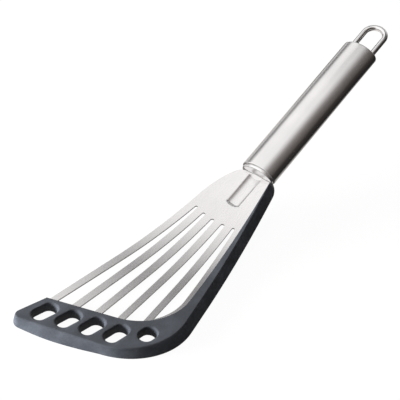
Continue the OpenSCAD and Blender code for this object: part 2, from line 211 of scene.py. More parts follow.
def shades(red: float, green: float, blue: float) -> tuple[float, float, float, float]:
    """Colour with full alpha."""
    return (red, green, blue, 1.0)


@dataclass(frozen=True)
class SteelFinish:
    """Satin, brushed or polished stainless steel.

    The lines are noise stretched along the brushing, which varies roughness and relief. A wide, soft noise
    clouds colour and roughness as handling does.
    """

    name: str
    slot: Slot
    colour: Triple = (0.80, 0.79, 0.785)
    roughness: float = 0.27
    line_depth: float = 0.06
    line_spread: float = 0.05
    brushing: Brushing = Brushing.LENGTHWISE
    turn: float = 0.0
    relief: float = 0.00002
    cloud_scale: Triple = (38.0, 26.0, 38.0)
    cloud_spread: float = 0.06
    speck_scale: Triple = (900.0, 900.0, 900.0)
    speck_spread: float = 0.05
    deep: Triple = (0.90, 0.90, 0.905)
    bright: Triple = (1.05, 1.05, 1.05)

    def shade(self, share: Triple) -> tuple[float, float, float, float]:
        """The colour times a share, up to white."""
        return shades(*(min(c * s, 1.0) for c, s in zip(self.colour, share)))

    def material(self) -> bpy.types.Material:
        """Makes the finish's material.

        Returns:
            The material.
        """
        sheet = ShaderSheet(bpy.data.materials.new(self.name))
        lines = sheet.noise(self.brushing.value, 3.0, 0.6, self.turn)
        cloud = sheet.noise(self.cloud_scale, 2.0, 0.5)
        specks = sheet.noise(self.speck_scale, 2.0, 0.6).ease(0.66, 0.78)
        tone = cloud.ease(0.3, 0.7) * 0.6 + lines.ease(0.3, 0.7) * 0.4
        rough = self.roughness + (lines - 0.5) * (2 * self.line_spread) + (cloud - 0.5) * self.cloud_spread
        return sheet.principled(
            {
                "Base Color": sheet.mix(tone, self.shade(self.deep), self.shade(self.bright)),
                "Metallic": 1.0,
                "Roughness": rough + specks * self.speck_spread,
                "Normal": sheet.bump(lines, self.line_depth, self.relief),
            }
        )


def polished(name: str, colour: Triple, roughness: float) -> SteelFinish:
    """Polished steel, with faint marks that run in no direction."""
    marks = {"line_depth": 0.015, "line_spread": 0.02, "brushing": Brushing.EVEN}
    return SteelFinish(name, Slot.POLISHED, colour, roughness, **marks)


@dataclass(frozen=True)
class PlasticFinish:
    """Matt glass-filled nylon, with a fine moulded grain, faint flow streaks and lighter scuffs."""

    name: str
    slot: Slot
    colour: Triple = (0.020, 0.023, 0.029)
    scuffed: Triple = (0.072, 0.080, 0.094)
    roughness: float = 0.5
    index: float = 1.5
    grain_scale: Triple = (2700.0, 2700.0, 2700.0)
    flow_scale: Triple = (120.0, 60.0, 120.0)
    fibre_scale: Triple = (1500.0, 400.0, 1500.0)
    relief: float = 0.00010

    def material(self) -> bpy.types.Material:
        """Makes the finish's material.

        Returns:
            The material.
        """
        sheet = ShaderSheet(bpy.data.materials.new(self.name))
        grain = sheet.noise(self.grain_scale, 3.0, 0.65)
        flow = sheet.noise(self.flow_scale, 3.0, 0.55)
        fibre = sheet.noise(self.fibre_scale, 2.0, 0.6).ease(0.60, 0.74)
        scuff = flow.ease(0.35, 0.75) * 0.30 + fibre * 0.25 + grain.ease(0.35, 0.65) * 0.28
        return sheet.principled(
            {
                "Base Color": sheet.mix(scuff, shades(*self.colour), shades(*self.scuffed)),
                "Roughness": self.roughness + (grain - 0.5) * 0.16 + (flow - 0.5) * 0.10,
                "IOR": self.index,
                "Normal": sheet.bump(grain * 0.7 + fibre * 0.3, 0.30, self.relief),
            }
        )


def lattice(points: np.ndarray, wrap_rows: bool = False, wrap_columns: bool = False) -> Mesh:
    """Grid of points as vertices and quads.

    Args:
        points: array of rows by columns by 3.
        wrap_rows: joins the last row to the first.
        wrap_columns: joins the last column to the first.

    Returns:
        Vertices and quads.
    """
    rows, columns = points.shape[:2]
    i = np.arange(rows if wrap_rows else rows - 1)[:, None]
    j = np.arange(columns if wrap_columns else columns - 1)[None, :]
    below, right = (i + 1) % rows, (j + 1) % columns
    corners = (i * columns + j, i * columns + right, below * columns + right, below * columns + j)
    quads = np.stack(np.broadcast_arrays(*corners), axis=-1).reshape(-1, 4)
    return points.reshape(-1, 3), quads


def smooth(data: bpy.types.Mesh) -> None:
    """Shades every face smooth."""
    data.polygons.foreach_set("use_smooth", np.ones(len(data.polygons), bool))


def piece(name: str, parts: list[Mesh], facing: Facing = Facing.CLOSED) -> bpy.types.Object:
    """Joins grids into one smooth mesh object at the origin.

    Args:
        name: the object's name.
        parts: vertices in metres and quads of each grid.
        facing: what is done to the faces.

    Returns:
        The object, linked to the scene.
    """
    starts = np.cumsum([0] + [len(v) for v, _ in parts[:-1]])
    vertices = np.concatenate([v for v, _ in parts])
    quads = np.concatenate([q + s for (_, q), s in zip(parts, starts)])
    data = bpy.data.meshes.new(name)
    data.from_pydata(vertices.tolist(), [], quads.tolist())
    shell = bmesh.new()
    shell.from_mesh(data)
    bmesh.ops.remove_doubles(shell, verts=shell.verts, dist=JOIN)
    bmesh.ops.dissolve_degenerate(shell, edges=shell.edges, dist=JOIN / 2)
    if facing is Facing.CLOSED:
        bmesh.ops.holes_fill(shell, edges=shell.edges, sides=0)
    if facing is not Facing.AS_BUILT:
        bmesh.ops.recalc_face_normals(shell, faces=shell.faces)
    shell.to_mesh(data)
    shell.free()
    smooth(data)
    made = bpy.data.objects.new(name, data)
    bpy.context.scene.collection.objects.link(made)
    return made


def ringed(name: str, rings: np.ndarray, joined: bool = False) -> bpy.types.Object:
    """Closed piece through rings of points, whose last ring can be joined to the first."""
    return piece(name, [lattice(rings, wrap_rows=joined, wrap_columns=True)])


def carve(body: bpy.types.Object, tools: list[bpy.types.Object]) -> None:
    """Cuts each tool out of the body, and removes the tools.

    Args:
        body: object whose mesh is cut.
        tools: closed objects, which don't touch each other.
    """
    for tool in tools:
        cut = body.modifiers.new("cut", "BOOLEAN")
        cut.operation, cut.solver, cut.object = "DIFFERENCE", "MANIFOLD", tool
    bpy.context.view_layer.update()
    worked = body.evaluated_get(bpy.context.evaluated_depsgraph_get())
    data = bpy.data.meshes.new_from_object(worked)
    body.modifiers.clear()
    body.data = data
    smooth(data)
    for tool in tools:
        bpy.data.objects.remove(tool)


def crisp(body: bpy.types.Object, angle: float) -> None:
    """Keeps flat faces flat: their normals lead, and edges over an angle stay sharp.

    Args:
        body: object whose normals are set.
        angle: the angle in degrees.
    """
    body.data.set_sharp_from_angle(angle=radians(angle))
    weighted = body.modifiers.new("flat faces", "WEIGHTED_NORMAL")
    weighted.keep_sharp = True
    weighted.weight = 60


def dress(made: bpy.types.Object, finish: SteelFinish | PlasticFinish, node: str) -> None:
    """Gives a piece its material and body, and hides the CAD node that it stands for.

    Args:
        made: the piece.
        finish: its finish.
        node: the CAD node.
    """
    made.data.materials.clear()
    made.data.materials.append(finish.material())
    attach(made, BODY)
    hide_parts(node)
    LOG.info("%s: %d faces", made.name, len(made.data.polygons))


@dataclass(frozen=True)
class Tool:
    """Placing of the tool and its left edge: plan points are x and the distance d in front of the neck."""

    centre_x: float = 1.58842
    neck_y: float = 20.8449
    rise: float = 17.0
    neck_straight: float = 12.7
    bend_r: float = 308.0
    mid_z: float = 3.1
    left_x: float = 17.97
    left_lean: float = 6.57

    @property
    def slope(self) -> float:
        """The handle's rise in radians."""
        return radians(self.rise)

    @property
    def left_slope(self) -> float:
        """Sideways run of the blade's left edge for each unit of distance."""
        return tan(radians(self.left_lean))

    @property
    def bend_d(self) -> float:
        """Distance at which the sheet becomes flat."""
        return self.neck_straight * cos(self.slope) + self.bend_r * sin(self.slope)

    @property
    def neck_z(self) -> float:
        """Height of the handle's axis at the neck."""
        return self.mid_z + self.bend_r * (1 - cos(self.slope)) + self.neck_straight * sin(self.slope)

    def height(self, d: np.ndarray, above: Values) -> np.ndarray:
        """Height of the line that runs above the sheet's middle.

        It is flat beyond the bend, an arc about the bend's centre, and a straight slope up to the neck.

        Args:
            d: distances in front of the neck.
            above: distance from the sheet's middle, square to it.

        Returns:
            Heights above the ground.
        """
        r = self.bend_r - above
        back = np.clip(self.bend_d - d, 0, None)
        turn = r * sin(self.slope)
        arc = self.mid_z + self.bend_r - np.sqrt(r * r - np.minimum(back, turn) ** 2)
        return arc + np.clip(back - turn, 0, None) * tan(self.slope)

    def plan(self, x: np.ndarray, d: np.ndarray, z: np.ndarray) -> np.ndarray:
        """Points in metres from plan coordinates and heights."""
        x, d, z = np.broadcast_arrays(x, d, z)
        return np.stack([x + self.centre_x, self.neck_y - d, z], axis=-1) * MM

    def on_handle(self, x: np.ndarray, up: Values, along: Values) -> np.ndarray:
        """Points in metres from the handle's own axes.

        Args:
            x: across the handle.
            up: square to the handle's axis, upward.
            along: along the axis, from the neck to the rear.

        Returns:
            Array with a last axis of 3.
        """
        x, up, along = np.broadcast_arrays(x, up, along)
        c, s = cos(self.slope), sin(self.slope)
        spot = [x + self.centre_x, self.neck_y + along * c - up * s, self.neck_z + along * s + up * c]
        return np.stack(spot, axis=-1) * MM


TOOL = Tool()


@dataclass(frozen=True)
class Oval:
    """Oval of the handle: two tight arcs at the sides joined by two flat arcs."""

    width: float = 24.0
    height: float = 15.8
    end_r: float = 5.8
    steps: int = 30

    def outline(self, inset: float) -> np.ndarray:
        """Points round the oval, drawn in from its skin.

        A point at angle a of an arc is the arc's centre plus (radius - inset) (cos a, sin a).

        Args:
            inset: distance inside the skin.

        Returns:
            Array of points by 2.
        """
        end_x, rise = self.width / 2 - self.end_r, self.height / 2 - self.end_r
        flat_y = (end_x**2 - rise**2) / (2 * rise)
        flat_r = flat_y + self.height / 2
        tight = degrees(atan2(flat_y, end_x))
        arcs = []
        for side in (0.0, 180.0):
            sign = cos(radians(side))
            for x, y, r, middle, half in (
                (end_x * sign, 0.0, self.end_r, side, tight),
                (0.0, -flat_y * sign, flat_r, side + 90, 90 - tight),
            ):
                a = np.radians(middle + half * (2 * np.arange(self.steps) / self.steps - 1))
                arcs.append(np.stack([x + (r - inset) * np.cos(a), y + (r - inset) * np.sin(a)], axis=1))
        return np.concatenate(arcs)

    def rings(self, profile: list[Span]) -> np.ndarray:
        """Ovals stacked along the handle.

        Args:
            profile: inset and place along the handle of each ring.

        Returns:
            Points in metres, rings by points by 3.
        """
        outlines = np.stack([self.outline(inset) for inset, _ in profile])
        along = np.array([place for _, place in profile])[:, None]
        return TOOL.on_handle(outlines[..., 0], outlines[..., 1], along)


OVAL = Oval()


def quarter(r: float, start: float, stop: float, steps: int) -> np.ndarray:
    """Points (cos a, sin a) r for angles from start to stop in degrees."""
    a = np.radians(np.linspace(start, stop, steps))
    return np.stack([np.cos(a), np.sin(a)], axis=1) * r


def rounds(r: float, steps: int, stop: float = 90.0) -> list[Span]:
    """Pairs r (1 - cos a), r (1 - sin a) of an edge's round, for angles a from 0 to stop in degrees."""
    return [(r * (1 - cos(a)), r * (1 - sin(a))) for a in np.radians(np.linspace(0, stop, steps))]


def circle(steps: int) -> np.ndarray:
    """Angles of evenly spaced points on a circle."""
    return np.radians(np.arange(steps) * (360 / steps))


def travel(points: np.ndarray) -> np.ndarray:
    """Distance along a line of points, at each of them."""
    return np.concatenate([[0], np.cumsum(np.hypot(*np.diff(points, axis=0).T))])


def round_fill(outline: np.ndarray, steps: int) -> np.ndarray:
    """Rings that draw an outline in to the origin, in equal steps."""
    return outline * np.linspace(1.0, 0.0, steps)[:, None, None]


@dataclass(frozen=True)
class Outline:
    """Corner outline in plan: a leaning side line, a round and a skewed front line."""

    side: float
    lean: float
    front: float
    skew: float
    r: float

    @property
    def side_out(self) -> Span:
        """Unit vector square to the side line, outward."""
        return cos(radians(self.lean)), -sin(radians(self.lean))

    @property
    def front_out(self) -> Span:
        """Unit vector square to the front line, outward."""
        return sin(radians(self.skew)), cos(radians(self.skew))

    def side_x(self, d: Values) -> Values:
        """Place of the side line at distance d."""
        return self.side + d * tan(radians(self.lean))

    def front_d(self, x: Values) -> Values:
        """Distance of the front line at x."""
        return self.front - x * tan(radians(self.skew))

    def grown(self, side: float, front: float, r: float) -> "Outline":
        """The outline with its side line, its front line and its radius moved outward."""
        side, front = self.side + side / self.side_out[0], self.front + front / self.front_out[1]
        return Outline(side, self.lean, front, self.skew, self.r + r)

    @property
    def centre(self) -> np.ndarray:
        """Centre of the round: the meeting of the two lines drawn in by the radius."""
        reach = [self.side * self.side_out[0] - self.r, self.front * self.front_out[1] - self.r]
        return np.linalg.solve(np.array([self.side_out, self.front_out]), reach)

    def curve(self, t: np.ndarray, from_d: float, to_x: float) -> np.ndarray:
        """Points along the outline.

        From t = 0 to 1 it follows the side line, to 2 the round and to 3 the front line. Each part is
        straight or circular in its own share of t.

        Args:
            t: places along the outline.
            from_d: distance at which the side line begins.
            to_x: place at which the front line ends.

        Returns:
            Plan points, t by 2.
        """
        angle = np.radians(-self.lean + (90 - self.skew + self.lean) * np.clip(t - 1, 0, 1))
        arc = self.centre + self.r * np.stack([np.cos(angle), np.sin(angle)], axis=-1)
        begin = np.array([self.side_x(from_d), from_d])
        end = np.array([to_x, self.front_d(to_x)])
        back = np.clip(1 - t, 0, 1)[..., None]
        on = np.clip(t - 2, 0, 1)[..., None]
        return arc + (begin - arc) * back + (end - arc) * on


INNER = Outline(10.2, 8.44, 143.8, 18.8, 34.0)


@dataclass
class Handle:
    """Oval tube with rolled ends, the collar and cap that close it, and the wire loop."""

    length: float = 119.0
    wall: float = 0.7
    lip_r: float = 0.3
    gap: float = 0.05
    even_from: float = 4.0
    collar_out: float = 1.8
    collar_in: float = 9.0
    collar_rim: float = 0.8
    cap_l: float = 2.0
    cap_sink: float = 0.3
    cap_ease: float = 0.15
    tang_w: float = 13.0
    tang_t: float = 1.0
    tang_gap: float = 0.10
    tang_ease: float = 0.12
    wire_r: float = 1.85
    wire_ease: float = 0.3
    hole_flare: float = 0.5
    loop_r: float = 7.2
    loop_straight: float = 16.5
    leg_in: float = 12.0
    tube_finish: SteelFinish = SteelFinish("satin tube steel", Slot.TUBE, roughness=0.24, turn=-17.0)
    collar_finish: SteelFinish = polished("polished collar steel", (0.97, 0.965, 0.96), 0.30)
    bright_finish: SteelFinish = polished("polished fitting steel", (0.84, 0.835, 0.83), 0.12)

    @property
    def roll(self) -> float:
        """Outside radius of the rolled lips."""
        return self.wall + self.lip_r

    @property
    def lip(self) -> float:
        """Inset of the plugs inside a lip, and depth of their shoulder behind it."""
        return self.roll + self.gap

    @property
    def bore(self) -> float:
        """Inset of the plugs inside the tube."""
        return self.wall + self.gap

    def mirrored(self, profile: list[Span]) -> list[Span]:
        """The profile of one end, at the other end."""
        return [(inset, self.length - s) for inset, s in profile[::-1]]

    def tube(self) -> bpy.types.Object:
        """Tube whose wall runs round both rolled lips and back inside.

        The profile is a closed line of inset and place along the handle, carried round the oval.

        Returns:
            The piece.
        """
        roll, rear = self.roll, self.length - self.roll
        front = [(sine, cosine) for cosine, sine in rounds(roll, 10)]
        even = np.linspace(self.even_from, self.length - self.even_from, 24)
        # Two extra rings at each end hold the lips' shading
        skin = [(0.0, s) for s in (roll + 0.2, roll + 0.8, *even, rear - 0.8, rear - 0.2)]
        turn = np.radians(np.linspace(90, 0, 5))
        rolled = [(roll - self.lip_r * cos(a), rear + self.lip_r * sin(a)) for a in turn]
        inside = [(self.wall, s) for s in np.linspace(self.length - self.even_from, self.even_from, 12)]
        profile = front + skin + self.mirrored(front) + rolled + inside + self.mirrored(rolled)
        return ringed("handle_tube_satin", OVAL.rings(profile), joined=True)

    def slot_outline(self, grow: float) -> np.ndarray:
        """Slot for the tang, with a point on the way out to each point of a flattened oval.

        The slot is a rectangle of the tang's width and thickness. Each ray is cut at the nearer of its two
        pairs of sides.

        Args:
            grow: clearance added on each side.

        Returns:
            Array of points by 2.
        """
        inset, spread = 2.0, 2.2
        half = np.array([self.tang_w / 2 + grow, self.tang_t / 2 + grow])
        flat = half[1] / (OVAL.height / 2) * OVAL.width / 2 / half[0] * spread
        way = OVAL.outline(inset) * np.array([1.0, flat])
        return way * np.min(half / np.maximum(np.abs(way), 1e-9), axis=1, keepdims=True)

    def collar(self) -> bpy.types.Object:
        """Oval plug with a rounded front rim and a slot for the tang.

        Rings run from the bore, round the rim, over the face and into the slot.

        Returns:
            The piece.
        """
        lip, bore, rim, front = self.lip, self.bore, self.collar_rim, -self.collar_out
        outer = [(bore, self.collar_in), (bore, lip + 0.3), (bore, lip), (lip, lip), (lip, lip - 0.2)]
        outer += [(lip, rim + front + 0.1)] + [(lip + c, front + s) for c, s in rounds(rim, 9)]
        edge = OVAL.outline(lip + rim)
        slot, eased = (self.slot_outline(self.tang_gap + ease) for ease in (0.0, self.tang_ease))
        face = edge + (eased - edge) * np.array([0.03, 0.3, 0.6, 0.9, 1.0])[:, None, None]
        face = TOOL.on_handle(face[..., 0], face[..., 1], front)
        depth = np.array([self.tang_ease + front, 1.0, self.collar_in])[:, None]
        throat = TOOL.on_handle(slot[None, :, 0], slot[None, :, 1], depth)
        made = ringed("neck_collar_polished", np.concatenate([OVAL.rings(outer), face, throat]), joined=True)
        crisp(made, 50)
        return made

    def cap(self) -> bpy.types.Object:
        """Flat oval cap behind the rear lip, with an eased hole for each leg.

        Returns:
            The piece.
        """
        lip, bore, ease = self.lip, self.bore, self.cap_ease
        seat, face = self.length - lip, self.length - self.cap_sink
        back = seat - self.cap_l
        outer = [(bore, back), (bore, seat - 0.1), (bore, seat), (lip, seat), (lip, face - 0.3)]
        outer += [(lip + c, face - s) for c, s in rounds(ease, 5)]
        top = round_fill(OVAL.outline(lip + ease), 12)[1:]
        bottom = round_fill(OVAL.outline(bore), 8)[::-1]
        top = TOOL.on_handle(top[..., 0], top[..., 1], face)
        bottom = TOOL.on_handle(bottom[..., 0], bottom[..., 1], back)
        made = ringed("end_cap_polished", np.concatenate([bottom, OVAL.rings(outer), top]))
        carve(made, [self.leg_hole(side, face) for side in (-1, 1)])
        crisp(made, 40)
        return made

    def leg_hole(self, side: int, face: float) -> bpy.types.Object:
        """Round tool for a leg's hole, which flares where it leaves the cap's face.

        Args:
            side: -1 for the left leg and 1 for the right leg.
            face: place of the cap's face along the handle.

        Returns:
            The closed tool.
        """
        reach = self.wire_r + self.gap
        flared = reach + self.hole_flare
        # Radius and place behind the face: from well inside the cap, out past its face
        shape = [(0.0, -8.0), (reach, -8.0), (reach, -0.35), (reach + 0.05, -0.15)]
        shape += [(flared, 0.2), (flared, 1.0), (0.0, 1.0)]
        r, s = (np.array(column)[:, None] for column in zip(*shape))
        a = circle(40)
        return ringed("leg_hole", TOOL.on_handle(side * self.loop_r + r * np.cos(a), r * np.sin(a), face + s))

    def loop(self) -> bpy.types.Object:
        """Wire loop: a circle carried up one leg, round the bow and down the other leg.

        Returns:
            The piece.
        """
        start, bow = self.length - self.leg_in, self.length + self.loop_straight
        leg = np.concatenate([[start, start + 0.4], np.linspace(start + 2, bow, 16)])
        turn = np.radians(np.linspace(0, 180, 61))[1:-1]
        side = np.full(len(leg), self.loop_r)
        x = np.concatenate([side, self.loop_r * np.cos(turn), -side])[:, None]
        s = np.concatenate([leg, bow + self.loop_r * np.sin(turn), leg[::-1]])[:, None]
        out = np.concatenate([np.zeros(len(leg)), turn, np.full(len(leg), np.pi)])[:, None]
        thick = np.full((len(x), 1), self.wire_r)
        thick[[0, -1]] = self.wire_r - self.wire_ease
        a = circle(36)
        across = thick * np.cos(a)
        rings = TOOL.on_handle(x + across * np.cos(out), thick * np.sin(a), s + across * np.sin(out))
        return ringed("hanging_loop_polished", rings)

    def build(self) -> None:
        """Makes and dresses the handle's pieces."""
        dress(self.tube(), self.tube_finish, "handle_tube")
        dress(self.collar(), self.collar_finish, "neck_collar")
        dress(self.cap(), self.bright_finish, "end_cap")
        dress(self.loop(), self.bright_finish, "hanging_loop")


@dataclass
class Blade:
    """Stamped sheet: a grooved panel, five bars, a strip and lip along the guard, and the tang."""

    thickness: float = 1.0
    edge_round: float = 0.16
    rear_d: float = 1.92
    embed: float = 1.65
    embed_run: float = 6.0
    slot_edge: Outline = Outline(5.9, 9.0, 142.95, 18.8, 34.0)
    far_d: float = 158.0
    bars: int = 5
    pitch: float = 5.0
    first_x: float = 15.47
    root_w: float = 5.3
    tip_w: float = 4.2
    tip_step: float = 0.25
    lean: float = 6.77
    lean_step: float = 2.69
    lean_growth: float = 0.18
    tip_d: float = 42.5
    tip_r: float = 51.0
    shoulder_x: float = 6.6
    shoulder_r: float = 8.0
    flank_r: float = 65.0
    tang_half: float = 6.5
    tang_end: float = 22.9
    tang_share: float = 0.72
    groove_half: float = 4.8
    groove_depth: float = 1.35
    groove_rim: float = 0.14
    groove_reach: float = 1.6
    groove_rear: float = 3.6
    groove_rear_run: float = 0.4
    groove_end: float = 29.0
    groove_end_run: float = 0.5
    bar_points: int = 9
    slot_points: int = 9
    strip_points: int = 8
    bar_rows: int = 70
    panel_rows: int = 110
    finish: SteelFinish = SteelFinish(
        "brushed sheet steel", Slot.SHEET, roughness=0.25, line_depth=0.015, line_spread=0.03, turn=-8.0
    )

    @property
    def embed_edge(self) -> Outline:
        """Line inside the guard at which the sheet ends."""
        return INNER.grown(self.embed, self.embed, self.embed)

    @property
    def far_x(self) -> float:
        """Place at which the lines along the front end."""
        return -(TOOL.left_x + self.far_d * TOOL.left_slope)

    def line(self, k: int, side: int) -> Span:
        """Edge of bar k as place at the neck and slope: x = place + slope d.

        Args:
            k: the bar, from 0 on the left.
            side: -1 for its left edge and 1 for its right edge.

        Returns:
            Place and slope.
        """
        if k == 0 and side < 0:
            return -TOOL.left_x, -TOOL.left_slope
        lean = radians(self.lean - self.lean_step * k - self.lean_growth * k * (k - 1) / 2)
        tip = self.tip_w - self.tip_step * max(k - 1, 0)
        narrowing = (tip - self.root_w) / INNER.front
        place = self.pitch * k - self.first_x + side * self.root_w / 2
        return place, -tan(lean) + side * narrowing / 2

    def slot_ends(self, k: int) -> tuple[np.ndarray, np.ndarray]:
        """Plan points at which the round rear end of slot k meets the slot's two edges.

        Args:
            k: the slot, from 0 on the left.

        Returns:
            The left and the right point.
        """
        p, q = self.line(k, 1)
        u, v = self.line(k + 1, -1)
        if k == self.bars - 1:
            u, v = self.slot_edge.side, tan(radians(self.slot_edge.lean))
        middle = (p + u + (q + v) * self.tip_d) / 2
        tip = self.tip_d - middle**2 / (2 * self.tip_r)
        d = tip + (u - p + (v - q) * tip) / 2
        return np.array([p + q * d, d]), np.array([u + v * d, d])

    def front_row(self) -> tuple[np.ndarray, list[slice], slice]:
        """Wavy line at which the panel becomes bars and slots.

        Returns:
            Plan points, the part of them that belongs to each bar, and to the strip.
        """
        runs, bars, count = [], [], 0
        place, slope = self.line(0, -1)
        start_d = self.slot_ends(0)[0][1]
        start = np.array([place + slope * start_d, start_d])
        a = np.linspace(np.pi, 0, self.slot_points)[1:-1, None]
        bow = np.concatenate([np.cos(a), -np.sin(a)], axis=1)
        for k in range(self.bars):
            left, right = self.slot_ends(k)
            runs.append(start + (left - start) * np.linspace(0, 1, self.bar_points)[:, None])
            runs.append((left + right) / 2 + (right[0] - left[0]) / 2 * bow)
            bars.append(slice(count, count + self.bar_points))
            count += self.bar_points + self.slot_points - 2
            start = right
        last = np.array([self.embed_edge.side_x(start[1]), start[1]])
        runs.append(start + (last - start) * np.linspace(0, 1, self.strip_points)[:, None])
        return np.concatenate(runs), bars, slice(count, count + self.strip_points)

    def left_contour(self, to_d: float) -> np.ndarray:
        """Outline of the panel's left side, from the collar round the shoulder and the flank.

        The flank's arc touches the shoulder's arc from inside and the left edge, which gives a quadratic
        equation for its centre.

        Args:
            to_d: distance at which it ends.

        Returns:
            Plan points, close together.
        """
        t, steps = TOOL.left_slope, 60
        shoulder = np.array([-self.shoulder_x, self.rear_d + self.shoulder_r])
        run = self.flank_r / cos(radians(TOOL.left_lean)) - TOOL.left_x + self.shoulder_x
        half = run * t + shoulder[1]
        spare = (self.flank_r - self.shoulder_r) ** 2 - run**2 - shoulder[1] ** 2
        flank_d = (half + sqrt(half**2 + (1 + t * t) * spare)) / (1 + t * t)
        flank = np.array([run - self.shoulder_x - flank_d * t, flank_d])
        join = 360 + degrees(atan2(shoulder[1] - flank[1], shoulder[0] - flank[0]))
        rear = shoulder + quarter(self.shoulder_r, 270, join, steps)
        long_run = flank + quarter(self.flank_r, join, 180 + TOOL.left_lean, steps)
        return np.concatenate([rear, long_run[1:], [[-TOOL.left_x - to_d * t, to_d]]])

    def groove(self, x: np.ndarray, d: np.ndarray) -> np.ndarray:
        """Depth of the stamped groove, pressed by a round tool along its middle line.

        With q the distance from the middle line and R the tool's radius, the tool reaches
        a = sqrt(R^2 - q^2) - (R - depth). The depth is (a + sqrt(a^2 + e^2)) / 2, where e softens the rim.

        Args:
            x: places across the sheet.
            d: distances in front of the neck.

        Returns:
            Depths.
        """
        s = d / cos(TOOL.slope)
        ahead = (s - self.groove_end) / self.groove_end_run + self.groove_half
        behind = (self.groove_rear - s) / self.groove_rear_run
        beyond = np.maximum(np.maximum(ahead, behind), 0)
        q = np.minimum(np.hypot(x, beyond), self.groove_half * self.groove_reach)
        tool = (self.groove_half**2 + self.groove_depth**2) / (2 * self.groove_depth)
        reach = np.sqrt(tool**2 - q**2) - (tool - self.groove_depth)
        return (reach + np.sqrt(reach**2 + self.groove_rim**2)) / 2

    def raised(self, plan: np.ndarray) -> Mesh:
        """Grid over plan points of the sheet's middle, with the groove pressed down."""
        x, d = plan[..., 0], plan[..., 1]
        return lattice(TOOL.plan(x, d, TOOL.height(d, 0.0) - self.groove(x, d)))

    def panel(self, front: np.ndarray) -> tuple[np.ndarray, slice]:
        """Coons patch between the rear edge, the left contour, the guard and the wavy front line.

        P = (1-v) A + v B + (1-u) (L - (1-v) A0 - v B0) + u (R - (1-v) A1 - v B1).

        Args:
            front: the wavy line.

        Returns:
            Plan points, rows by columns by 2, and the columns that run on into the tang.
        """
        u = travel(front) / travel(front)[-1]
        inside, last = int(np.argmin(np.abs(u - self.tang_share))), len(u) - 1
        places = [-self.shoulder_x, -self.tang_half, self.tang_half, INNER.side_x(self.rear_d)]
        places = np.interp(np.arange(len(u)), [0, 1, inside, last], places)
        rear = np.stack([places, np.full(len(u), self.rear_d)], axis=1)
        v = np.linspace(0, 1, self.panel_rows)
        contour = self.left_contour(front[0, 1])
        length = travel(contour)
        left = np.stack([np.interp(v * length[-1], length, contour[:, i]) for i in (0, 1)], axis=1)
        right_d = self.rear_d + (front[-1, 1] - self.rear_d) * v
        deep = np.clip((right_d - self.rear_d) / self.embed_run, 0, 1)
        right_x = INNER.side_x(right_d) * (1 - deep) + self.embed_edge.side_x(right_d) * deep
        right = np.stack([right_x, right_d], axis=1)
        v, u = v[:, None, None], u[None, :, None]
        blend = (1 - v) * rear[None] + v * front[None]
        blend += (1 - u) * (left[:, None] - (1 - v) * rear[0] - v * front[0])
        blend += u * (right[:, None] - (1 - v) * rear[-1] - v * front[-1])
        return blend, slice(1, inside + 1)

    def crossings(self, k: int) -> np.ndarray:
        """Places along the slots' front edge at which the lines of bar k, x = place + slope d, meet it.

        Args:
            k: the bar, from 0 on the left.

        Returns:
            A place for each of the bar's lines, as t of the outline's curve.
        """
        t = np.linspace(1, 3, 4001)
        x, d = self.slot_edge.curve(t, self.tip_d, self.far_x).T
        first, last = np.array(self.line(k, -1)), np.array(self.line(k, 1))
        lines = first + (last - first) * np.linspace(0, 1, self.bar_points)[:, None]
        return np.array([np.interp(0, (x - place - slope * d)[::-1], t[::-1]) for place, slope in lines])

    def sheet(self) -> list[Mesh]:
        """Middle surface of the sheet: the panel, the bars, the band along the guard and the tang.

        A bar is drawn in straight lines from the panel to the slots' front edge. The band lies between that
        edge and the line inside the guard, and its points match those of the bars.

        Returns:
            The grids.
        """
        front, runs, strip = self.front_row()
        panel, tang = self.panel(front)
        from_d = front[strip][0, 1]
        stations = [self.crossings(k) for k in range(self.bars)]
        parts = [self.raised(panel)]
        rows = np.linspace(0, 1, self.bar_rows)[:, None, None]
        for run, places in zip(runs, stations):
            tips = self.slot_edge.curve(places, from_d, self.far_x)
            parts.append(self.raised(front[run] + (tips - front[run]) * rows))
        order = [np.linspace(0, 1, 50)[:-1], np.linspace(1, stations[-1][-1], 24)[:-1]]
        for k in reversed(range(self.bars)):
            order.append(stations[k][::-1])
            if k:
                order.append(np.linspace(stations[k][0], stations[k - 1][-1], 12)[1:-1])
        t = np.concatenate(order)
        inside, outside = (edge.curve(t, from_d, self.far_x) for edge in (self.slot_edge, self.embed_edge))
        share = np.linspace(0, 1, self.strip_points)[:, None]
        parts.append(self.raised(inside[:, None] + (outside - inside)[:, None] * share))
        back = np.linspace(0, self.tang_end + self.rear_d, 30)[:, None, None] * np.array([0.0, -1.0])
        parts.append(self.raised(panel[0, tang] + back))
        return parts

    def build(self) -> None:
        """Makes the sheet's middle surface, thickens it and eases its edges."""
        made = piece("blade_brushed", self.sheet(), Facing.AGREED)
        wall = made.modifiers.new("sheet", "SOLIDIFY")
        wall.thickness, wall.offset = self.thickness * MM, 0.0
        wall.use_even_offset = True
        ease = made.modifiers.new("eased edges", "BEVEL")
        ease.width, ease.segments = self.edge_round * MM, 2
        ease.limit_method, ease.angle_limit = "ANGLE", radians(50)
        ease.harden_normals = True
        dress(made, self.finish, "blade")


